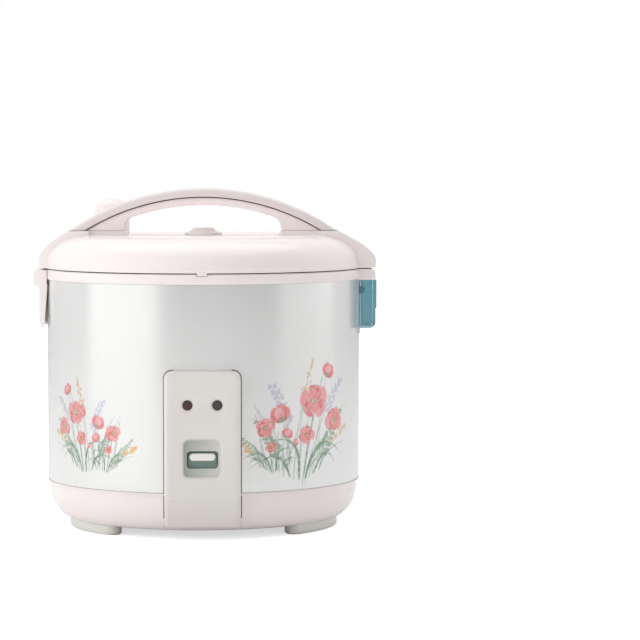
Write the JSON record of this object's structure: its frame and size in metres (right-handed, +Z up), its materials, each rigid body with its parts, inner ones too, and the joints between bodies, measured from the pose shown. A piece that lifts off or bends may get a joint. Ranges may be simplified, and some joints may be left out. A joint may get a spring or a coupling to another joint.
{
  "type": "rice cooker",
  "caption": "Round electric rice cooker with a hinged lid under an arched carry handle, a side latch, a removable pot, a press-down cook switch and a pull-off dew cup.",
  "frame": {"origin": "centre of the footprint on the surface that the feet stand on", "axes": "-Y towards the control panel, +X towards the lid hinge, +Z up"},
  "size_m": [0.2891, 0.276, 0.2847],
  "materials": {
    "printed_shell": "satin pearl with a flower print",
    "white_plastic": "gloss",
    "panel_plastic": "fine satin",
    "arch_plastic": "satin gloss",
    "grip_plastic": "satin",
    "foot_plastic": "matte",
    "dew_plastic": "clear tinted",
    "holder_plastic": "matte",
    "red_lens": "clear tinted",
    "grey_lens": "clear tinted",
    "key_plastic": "gloss",
    "dark_plastic": "matte",
    "circuit_board": "satin",
    "zinc_sheet": "plated",
    "cast_aluminium": "cast and turned",
    "lid_aluminium": "satin anodised",
    "pot_coating": "coated inside",
    "mica_band": "matte",
    "brass": "plain",
    "spring_steel": "bright",
    "silicone": "matte"
  },
  "bodies": {
    "cooker": {"outer_shell": "printed_shell", "upper_ring": "white_plastic", "base_tray": "white_plastic", "bottom_plate": "zinc_sheet", "foot_front_left": "foot_plastic", "foot_front_right": "foot_plastic", "foot_rear_left": "foot_plastic", "foot_rear_right": "foot_plastic", "control_panel": "panel_plastic", "cook_lamp_lens": "red_lens", "warm_lamp_lens": "grey_lens", "lamp_board": "circuit_board", "key_guide": "dark_plastic", "inner_can": "zinc_sheet", "can_supports": "zinc_sheet", "side_heater": "mica_band", "heating_plate": "cast_aluminium", "heater_terminals": "brass", "sensor_spring": "spring_steel", "switch_bracket": "zinc_sheet", "lever_pin": "spring_steel", "microswitch": "dark_plastic", "thermal_fuse": "brass", "inlet_socket": "panel_plastic", "inlet_pins": "brass", "collector_holder": "holder_plastic", "hinge_pin": "spring_steel", "hinge_spring": "spring_steel", "latch_pin": "spring_steel", "latch_spring": "spring_steel", "case_screws": "spring_steel"},
    "pot": {"inner_pot": "pot_coating", "pot_rim": "pot_coating"},
    "lid": {"lid_cover": "white_plastic", "handle_arch": "arch_plastic", "handle_grip": "grip_plastic", "lid_liner": "white_plastic", "lid_plate": "lid_aluminium", "lid_heater": "mica_band", "inner_lid": "lid_aluminium", "inner_lid_gasket": "silicone", "inner_lid_grommet": "silicone", "centre_cap": "white_plastic", "hook_catch": "zinc_sheet", "hinge_leaf": "zinc_sheet", "lid_screws": "spring_steel", "vent_tube": "white_plastic", "vent_gasket": "silicone"},
    "cap": {"steam_cap": "white_plastic"},
    "latch": {"hook_lever": "white_plastic"},
    "collector": {"dew_collector": "dew_plastic"},
    "switch": {"switch_key": "key_plastic", "key_shutter": "dark_plastic"},
    "lever": {"switch_arm": "zinc_sheet"},
    "lift": {"magnet_holder": "zinc_sheet", "magnet": "dark_plastic"},
    "sensor": {"thermostat_sensor": "cast_aluminium"}
  },
  "joints": [
    {"name": "lid_hinge", "type": "hinge", "parent": "cooker", "child": "lid", "pos_m": [0.141, 0, 0.213], "axis": [0, 1, 0], "range_deg": [0, 90]},
    {"name": "latch_press", "type": "hinge", "parent": "cooker", "child": "latch", "pos_m": [-0.1375, 0, 0.2085], "axis": [0, -1, 0], "range_deg": [0, 5], "stiffness_Nm_per_rad": 0.6, "springref_deg": -5.73},
    {"name": "collector_pull", "type": "slide", "parent": "cooker", "child": "collector", "axis": [1, 0, 0], "range_m": [0, 0.024]},
    {"name": "cap_lift", "type": "slide", "parent": "lid", "child": "cap", "axis": [0, 0, 1], "range_m": [0, 0.036]},
    {"name": "pot_turn", "type": "hinge", "parent": "cooker", "child": "pot", "pos_m": [0, 0, 0.076], "axis": [0, 0, 1], "continuous": true},
    {"name": "cook_press", "type": "slide", "parent": "cooker", "child": "switch", "axis": [0, 0, -1], "range_m": [0, 0.00565], "stiffness_N_per_m": 120, "springref_m": -0.008},
    {"name": "lever_turn", "type": "hinge", "parent": "cooker", "child": "lever", "pos_m": [0, -0.07, 0.045], "axis": [1, 0, 0], "range_deg": [0, 6.01]},
    {"name": "magnet_lift", "type": "slide", "parent": "cooker", "child": "lift", "axis": [0, 0, 1], "range_m": [0, 0.00735]},
    {"name": "sensor_press", "type": "slide", "parent": "cooker", "child": "sensor", "axis": [0, 0, -1], "range_m": [0, 0.0015], "stiffness_N_per_m": 400, "springref_m": -0.003, "deforming": ["sensor_spring"]}
  ],
  "couplings": [
    {"joint": "lever_turn", "follows": "cook_press", "rad_per_m": 18.518},
    {"joint": "magnet_lift", "follows": "cook_press", "ratio": 1.2963}
  ]
}
